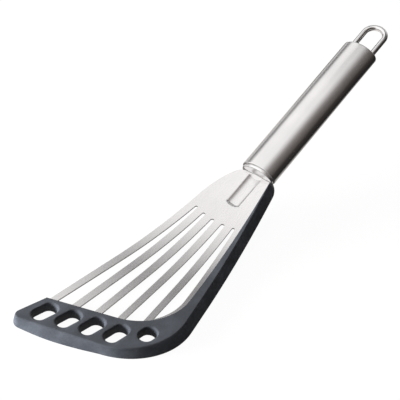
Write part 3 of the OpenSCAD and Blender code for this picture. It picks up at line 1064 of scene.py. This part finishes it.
@dataclass
class Guard:
    """Plastic guard: a band moulded round the sheet's right side and front, with five slots.

    Each tail is a distance in front of the neck, a radius and the angle at which its round begins.
    """

    thickness: float = 6.0
    foot: float = 1.0
    edge_r: float = 0.7
    inner_r: float = 0.3
    foot_r: float = 0.25
    slit: float = 1.8
    slit_low: float = 2.55
    slit_high: float = 3.65
    top: Outline = Outline(10.5, 11.1, 167.4, 16.4, 38.0)
    side_flare: float = 4.4
    front_flare: float = 1.9
    end_flare: float = 1.4
    front_swell: float = 1.7
    swell_bias: float = 1.25
    corner_hollow: float = 0.6
    hollow_from: float = 1.25
    hollow_run: float = 0.95
    end_lean: float = 16.2
    nose_r: float = 3.2
    nose_foot_r: float = 5.6
    top_tail: Triple = (4.8, 0.4, -80.0)
    foot_tail: Triple = (9.9, 12.0, -60.0)
    inner_low_d: float = 0.3
    inner_high_d: float = 4.3
    inner_run_d: float = 7.0
    inner_stop: float = 2.6
    tail_points: int = 14
    nose_points: int = 16
    end_points: int = 10
    slots: int = 5
    slot_w: float = 9.0
    slot_l: float = 17.3
    corner_slot_l: float = 12.6
    corner_slot_d: float = 141.6
    slot_x: float = 29.8
    slot_pitch: float = 13.4
    slot_lean: float = 14.2
    slot_step: float = 1.6
    slot_inset: float = 0.15
    rim_depth: float = 2.4
    rim_turn: float = 78.0
    rim_side: float = 0.6
    rim_end: float = 1.2
    collar_gap: float = 0.15
    collar_inset: float = 1.05
    collar_out: float = 1.8
    collar_reach: float = 14.0
    finish: PlasticFinish = PlasticFinish("charcoal nylon", Slot.PLASTIC)

    @property
    def sole(self) -> Outline:
        """Outline of the foot."""
        return self.top.grown(self.side_flare, self.front_flare, self.front_flare)

    @property
    def end_out(self) -> np.ndarray:
        """Unit vector square to the guard's left end, outward."""
        return -np.array([cos(radians(self.end_lean)), sin(radians(self.end_lean))])

    @property
    def corner(self) -> np.ndarray:
        """Meeting of the guard's inner front edge and the blade's left edge.

        Returns:
            Plan point.
        """
        t, k = TOOL.left_slope, tan(radians(INNER.skew))
        d = (INNER.front + TOOL.left_x * k) / (1 - t * k)
        return np.array([-TOOL.left_x - d * t, d])

    def outer_line(self, t: np.ndarray, edge: Outline, rear: Triple, flare: float, nose_r: float,
                   push: np.ndarray) -> np.ndarray:
        """Outer line of the section: a round tail, the outline, a round nose and the straight left end.

        The nose's centre is where the outline's front line and the left end's line, drawn in by its radius,
        meet. The tail's centre lies its radius inside the side line.

        Args:
            t: places along the outline.
            edge: the outline.
            rear: distance of the tail's centre, its radius, and its first angle in degrees.
            flare: how far the left end is moved outward.
            nose_r: radius of the nose.
            push: how far forward each of the outline's points is moved.

        Returns:
            Plan points.
        """
        rear_d, rear_r, start = rear
        centre = np.array([edge.side_x(rear_d) - rear_r / edge.side_out[0], rear_d])
        tail = centre + quarter(rear_r, start, -edge.lean, self.tail_points)
        reach = [edge.front * edge.front_out[1] - nose_r, self.corner @ self.end_out + flare - nose_r]
        centre = np.linalg.solve(np.array([edge.front_out, self.end_out]), reach)
        nose = centre + quarter(nose_r, 90 - edge.skew, 180 + self.end_lean, self.nose_points)
        run = edge.curve(t, tail[-1, 1], nose[0, 0]) + push[:, None] * np.array(edge.front_out)
        left = self.corner + flare * self.end_out - nose[-1]
        end = nose[-1] + left * np.linspace(0, 1, self.end_points)[1:, None]
        return np.concatenate([tail[:-1], run, nose[1:], end])

    def stations(self) -> list[np.ndarray]:
        """Lines along which the section is carried.

        Returns:
            Plan points of the inner edge below, the inner edge above, the upper outer edge and the foot.
        """
        t = [np.linspace(0, 1, 60)[:-1], np.linspace(1, 2, 56)[:-1], np.linspace(2, 3, 44)]
        t, corner = np.concatenate(t), self.corner
        run = INNER.curve(t, self.inner_run_d, corner[0] + self.inner_stop)
        end = np.linspace(0, 1, self.nose_points + self.end_points)[1:-1, None]
        end = run[-1] + (corner - run[-1]) * end
        end[-1] = corner
        lines = []
        for first in (self.inner_low_d, self.inner_high_d):
            d = np.linspace(first, self.inner_run_d, self.tail_points)[:-1]
            lines.append(np.concatenate([np.stack([INNER.side_x(d), d], axis=1), run, end]))
        swell = self.swell(t)
        lines.append(self.outer_line(t, self.top, self.top_tail, 0.0, self.nose_r, 0 * t))
        lines.append(self.outer_line(t, self.sole, self.foot_tail, self.end_flare, self.nose_foot_r, swell))
        return lines

    def swell(self, t: np.ndarray) -> np.ndarray:
        """Gentle swell of the foot's front line.

        It is a hump on the front line, a half wave that leans toward its left end, less a half wave that
        makes a slight hollow round the corner.

        Args:
            t: places along the foot's outline.

        Returns:
            Distances forward.
        """
        hump = np.sin(np.pi * np.clip(t - 2, 0, 1) ** self.swell_bias) * self.front_swell
        round_corner = np.clip((t - self.hollow_from) / self.hollow_run, 0, 1)
        return hump - np.sin(np.pi * round_corner) * self.corner_hollow

    def section(self) -> np.ndarray:
        """Closed section: share of the width, offset in millimetres and height of each point.

        It climbs the inner wall past the slit for the sheet, crosses the top, goes down the leaning outer
        wall and the foot, and returns along the underside, with a round at each edge. The points 0.2 to
        0.4 mm from a round hold its shading.

        Returns:
            Array of points by 3.
        """
        t, r, q, f, foot = self.thickness, self.inner_r, self.edge_r, self.foot_r, self.foot
        points = [(0, 0, f), (0, 0, self.slit_low), (0, self.slit, self.slit_low)]
        points += [(0, self.slit, self.slit_high), (0, 0, self.slit_high), (0, 0, t - r - 0.3)]
        points += [(0, c, t - s) for c, s in rounds(r, 5)]
        points += [(0, r + 0.25, t), (0.25, 0, t), (0.5, 0, t), (0.75, 0, t), (1, -q - 0.35, t)]
        points += [(1, -s, t - c) for c, s in rounds(q, 7)]
        points += [(1, 0, t - q - 0.4), (1, 0, 3.6), (1, 0, 2.2), (1, 0, foot + 0.25), (1, 0, foot - 0.25)]
        points += [(1, -c, s) for c, s in rounds(f, 4)]
        points += [(1, -f - 0.25, 0), (0.5, 0, 0), (0, f + 0.2, 0)]
        points += [(0, s, c) for c, s in rounds(f, 3, 60)]
        return np.array(points, float)

    def band(self) -> bpy.types.Object:
        """Section carried along the stations.

        At height h the section runs from the inner edge to the outer one, each a blend of its lower and
        upper line. A point is inner + (outer - inner) (share + offset / width), and the offset shrinks with
        the width where the band is narrower than it needs.

        Returns:
            The closed band.
        """
        full_width, least = 2.4, 1e-6
        low, high, top, sole = self.stations()
        share, offset, h = self.section().T
        rise = np.clip((h - self.foot) / (self.thickness - self.foot), 0, 1)[None, :, None]
        lift = (h / self.thickness)[None, :, None]
        outer = sole[:, None] + (top - sole)[:, None] * rise
        inner = low[:, None] + (high - low)[:, None] * lift
        width = np.linalg.norm(outer - inner, axis=2)
        keep = np.minimum(1, width / full_width)
        reach = np.where(width > least, share + offset * keep / np.maximum(width, least), share)
        plan = inner + (outer - inner) * reach[..., None]
        z = TOOL.height(plan[..., 1], h[None] - TOOL.mid_z)
        return ringed("edge_guard_charcoal", TOOL.plan(plan[..., 0], plan[..., 1], z))

    def slot_tool(self, k: int) -> bpy.types.Object:
        """Tool for slot k: a round-ended outline that opens toward the top, most of all at its ends.

        The walls stand straight up to the rim. In the rim they lean out along an arc, over an angle a from 0
        to the rim's turn: the opening grows as 1 - cos a while the height grows as sin a.

        Args:
            k: the slot, from 0 on the left.

        Returns:
            The closed tool.
        """
        x = self.slot_pitch * k - self.slot_x
        d, length = (INNER.front_d(x) + self.top.front_d(x)) / 2, self.slot_l
        if k == self.slots - 1:
            d, length = self.corner_slot_d, self.corner_slot_l
        lean = radians(self.slot_lean - self.slot_step * k)
        steps, t = 25, self.thickness
        a = np.radians(np.linspace(0, 180, steps))
        a = np.concatenate([a, a + np.pi])
        half = np.where(np.arange(2 * steps) < steps, 1, -1) * (length - self.slot_w) / 2
        curve = np.radians(np.linspace(0, self.rim_turn, 9))
        wide = (1 - np.cos(curve)) / (1 - cos(curve[-1]))
        tall = t - self.rim_depth * (1 - np.sin(curve) / sin(curve[-1])) - 0.02
        tall[-1] = t + 0.01
        wide = np.concatenate([[0.0], wide, [1.0]])[:, None]
        # From below the guard's sole to above its top
        h = np.concatenate([[-2.0], tall, [t + 0.5]])[:, None]
        radius = self.slot_w / 2 - self.slot_inset + self.rim_side * wide**2
        end = half + np.sign(half) * (wide - 1) * min(self.rim_end, (length - self.slot_w) / 4)
        across, along = radius * np.cos(a), radius * np.sin(a) + end
        plan_x = x + across * cos(lean) - along * sin(lean)
        plan_d = d + across * sin(lean) + along * cos(lean)
        return ringed("slot_tool", TOOL.plan(plan_x, plan_d, h))

    def collar_tool(self) -> bpy.types.Object:
        """Tool that keeps the guard clear of the collar and the tube.

        Returns:
            The closed tool.
        """
        gap, inset = self.collar_gap, self.collar_inset - self.collar_gap
        profile = [(inset, -self.collar_out - gap), (inset, -gap), (-gap, -gap), (-gap, self.collar_reach)]
        return ringed("collar_tool", OVAL.rings(profile))

    def build(self) -> None:
        """Makes the band, cuts its slots and gives it its finish."""
        made = self.band()
        carve(made, [self.slot_tool(k) for k in range(self.slots)] + [self.collar_tool()])
        crisp(made, 40)
        dress(made, self.finish, "edge_guard")


@dataclass
class Welds:
    """Weld beads inside the handle, which keep their CAD meshes."""

    nodes: tuple[str, ...] = ("tang_weld_top", "tang_weld_bottom", "loop_weld_left", "loop_weld_right")
    finish: SteelFinish = SteelFinish(
        "weld steel", Slot.WELD, (0.42, 0.40, 0.38), 0.45, line_depth=0.3, brushing=Brushing.EVEN
    )

    def build(self) -> None:
        """Gives each bead its finish."""
        made = self.finish.material()
        for name in self.nodes:
            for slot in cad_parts[name].material_slots:
                slot.material = made
            LOG.info("%s: dressed", name)


@dataclass
class Studio:
    """Camera, pale floor, light tent, a card that paints reflections, and one soft lamp.

    The spans are the values between which a smooth step runs. Those of the tent are over the direction from
    its middle, and those of the card are over places on the floor in metres.
    """

    lens: float = 119.89
    spot: Triple = (0.305981, -0.546883, 0.530350)
    turn: Triple = (49.95573, -5.40635, 35.72343)
    floor_half: float = 1.5
    floor_z: float = -0.00002
    floor_share: float = 0.95
    tent_r: float = 1.6
    left_fade: Span = (-0.08, 0.44)
    ahead_fade: Span = (0.02, 0.13)
    ahead_x: float = -0.33
    behind_fade: Span = (0.60, 0.75)
    horizon: Span = (0.15, 0.30)
    band_foot: Span = (0.12, 0.26)
    band_head: Span = (0.32, 0.50)
    band_fade: Span = (0.05, 0.25)
    band_side: Span = (-0.66, -0.52)
    rest_fade: Span = (0.35, 0.86)
    rest_ahead: Span = (0.3, 0.5)
    sky_light: float = 0.96
    behind_light: float = 0.55
    rest_light: float = 0.19
    ground_light: float = 0.75
    least_light: float = 0.03
    band_share: float = 0.95
    warm_fade: Span = (0.05, 0.6)
    cool: Triple = (1.0, 0.985, 0.985)
    warm: Triple = (1.0, 0.89, 0.83)
    card_half: float = 1.4
    card_z: float = 0.0003
    # The card's glow is seen only in reflections and paints them: pale beside the handle, dim to the left,
    # darkest to the right
    card_fade: Span = (0.0, 0.06)
    handle_from: Span = (0.02, 0.05)
    handle_to: Span = (0.16, 0.21)
    painted_pale_reflection: float = 0.62
    painted_dim_reflection: float = 0.20
    painted_darkest_reflection: float = 0.02
    card_tone: Triple = (1.0, 0.97, 0.94)
    lamp_spot: Triple = (-0.74, -0.76, 0.15)
    lamp_size: Span = (0.5, 0.3)
    lamp_power: float = 82.0

    def camera(self) -> None:
        """Makes the camera at the photograph's viewpoint."""
        data = bpy.data.cameras.new("camera")
        data.lens, data.sensor_width = self.lens, 36.0
        data.clip_start, data.clip_end = 0.05, 20.0
        made = bpy.data.objects.new("camera", data)
        made.location = self.spot
        made.rotation_euler = Euler([radians(a) for a in self.turn], "XYZ")
        bpy.context.scene.collection.objects.link(made)
        bpy.context.scene.camera = made

    def seen(self, sheet: ShaderSheet) -> Wire:
        """1 for camera, glossy and transmission rays, and 0 for others.

        Args:
            sheet: the sheet to which the nodes are added.

        Returns:
            The value.
        """
        kinds = ("Camera", "Glossy", "Transmission")
        camera, glossy, through = (sheet.node("ShaderNodeLightPath", output=f"Is {k} Ray") for k in kinds)
        return camera.maximum(glossy).maximum(through)

    def stand(self, name: str, grid: Mesh, paint: bpy.types.Material, *unseen_by: str) -> None:
        """Makes a stage piece.

        Args:
            name: the object's name.
            grid: its mesh.
            paint: its material.
            unseen_by: kinds of ray that pass it by.
        """
        made = piece(name, [grid], Facing.AS_BUILT)
        made.data.materials.append(paint)
        for kind in unseen_by:
            setattr(made, f"visible_{kind}", False)

    def plane(self, half: float, z: float) -> Mesh:
        """Level square grid about the origin, given by half its width and its height."""
        x, y = np.meshgrid(np.linspace(-half, half, 5), np.linspace(-half, half, 5))
        return lattice(np.stack([x, y, np.full_like(x, z)], axis=-1))

    def floor(self) -> None:
        """Makes the pale floor, which keeps a faint shadow."""
        sheet = ShaderSheet(bpy.data.materials.new("pale floor"))
        matt = sheet.node("ShaderNodeBsdfDiffuse", {}, {"Color": shades(0.9, 0.9, 0.9)})
        white = sheet.node("ShaderNodeEmission", {}, {"Color": shades(1, 1, 1), "Strength": 1.0})
        share = self.seen(sheet) * self.floor_share
        paint = sheet.surface(sheet.node("ShaderNodeMixShader", {}, {0: share, 1: matt, 2: white}))
        self.stand("floor", self.plane(self.floor_half, self.floor_z), paint)

    def world(self) -> None:
        """White background for the camera and for reflections, and a soft grey fill otherwise."""
        sheet = ShaderSheet(bpy.data.worlds.new("studio"))
        tone = sheet.mix(self.seen(sheet), shades(0.5, 0.5, 0.5), shades(1, 1, 1))
        back = sheet.node("ShaderNodeBackground", {}, {"Color": tone, "Strength": 1.0})
        sheet.node("ShaderNodeOutputWorld", {}, {"Surface": back})
        bpy.context.scene.world = sheet.owner

    def tent(self) -> None:
        """Light tent round the object, a sphere that the camera doesn't see.

        With x, y, z the direction from the middle, the sky is bright on the left in front, where x and
        y + min(x, ahead_x) are low, and paler than the rest far behind on the left. A dim light fills it as
        far as the right side, weaker behind. Below the horizon the left is pale. A dark band stands above
        the horizon at the far left behind. The light is cool on the left and warm on the right.
        """
        a, b = np.meshgrid(circle(64), np.radians(np.linspace(-90, 90, 33)))
        ball = np.stack([np.cos(b) * np.cos(a), np.cos(b) * np.sin(a), np.sin(b)], axis=-1) * self.tent_r
        sheet = ShaderSheet(bpy.data.materials.new("tent cloth"))
        spot = sheet.spot()
        x, y, z = (sheet.axis(spot, i) * (1 / self.tent_r) for i in range(3))
        left = 1 - x.ease(*self.left_fade)
        ahead = 1 - (y + x.minimum(self.ahead_x)).ease(*self.ahead_fade)
        behind = y.ease(*self.behind_fade) * left * self.behind_light
        rest = (1 - x.ease(*self.rest_fade)) * (1 - y.ease(*self.rest_ahead) * 0.5) * self.rest_light
        band = z.ease(*self.band_foot) * (1 - z.ease(*self.band_head)) * y.ease(*self.band_fade)
        band = band * self.band_share * (1 - x.ease(*self.band_side))
        sky = z.ease(*self.horizon)
        above = sky * (left * ahead * self.sky_light + rest + behind)
        light = (above + (1 - sky) * left * self.ground_light) * (1 - band) + self.least_light
        tone = sheet.mix(x.ease(*self.warm_fade), shades(*self.cool), shades(*self.warm))
        paint = sheet.surface(sheet.glow(tone, light))
        self.stand("light_tent", lattice(ball, wrap_columns=True), paint, "camera", "shadow")

    def card(self) -> None:
        """Card on the floor that glows for reflections only, a painted reflection on the steel.

        It paints a black reflection to the right of the tool and a dim one to the left, but a pale one beside
        the handle.
        """
        sheet = ShaderSheet(bpy.data.materials.new("painted reflection card"))
        spot = sheet.spot()
        x, y = (sheet.axis(spot, i) for i in (0, 1))
        # Painted reflection: pale beside the handle, dim to the left, near black to the right of the tool
        pale_reflection_mask = y.ease(*self.handle_from) * (1 - y.ease(*self.handle_to))
        light = pale_reflection_mask * self.painted_pale_reflection + self.painted_dim_reflection
        light = light * (1 - x.ease(*self.card_fade)) + self.painted_darkest_reflection
        paint = sheet.surface(sheet.glow(self.card_tone, light))
        plane = self.plane(self.card_half, self.card_z)
        self.stand("painted_reflection_card", plane, paint, "camera", "diffuse", "shadow", "transmission")

    def lamp(self) -> None:
        """Soft lamp low in front and to the left, which reflections don't show."""
        data = bpy.data.lights.new("front lamp", "AREA")
        data.shape = "RECTANGLE"
        data.size, data.size_y = self.lamp_size
        data.energy = self.lamp_power
        made = bpy.data.objects.new("front lamp", data)
        made.location = self.lamp_spot
        made.rotation_euler = (-made.location).to_track_quat("-Z", "Y").to_euler()
        made.visible_glossy = False
        bpy.context.scene.collection.objects.link(made)

    def build(self) -> None:
        """Sets up the whole studio."""
        bpy.context.scene.view_settings.view_transform = "Standard"
        self.camera()
        self.floor()
        self.world()
        self.tent()
        self.card()
        self.lamp()


def main() -> None:
    """Builds the studio and the tool."""
    logging.basicConfig(level=logging.INFO, format="%(message)s")
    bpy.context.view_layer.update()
    Studio().build()
    for assembly in (Handle(), Blade(), Guard(), Welds()):
        assembly.build()
        LOG.info("%s done", type(assembly).__name__)
    bpy.context.view_layer.update()


if __name__ == "__main__":
    main()
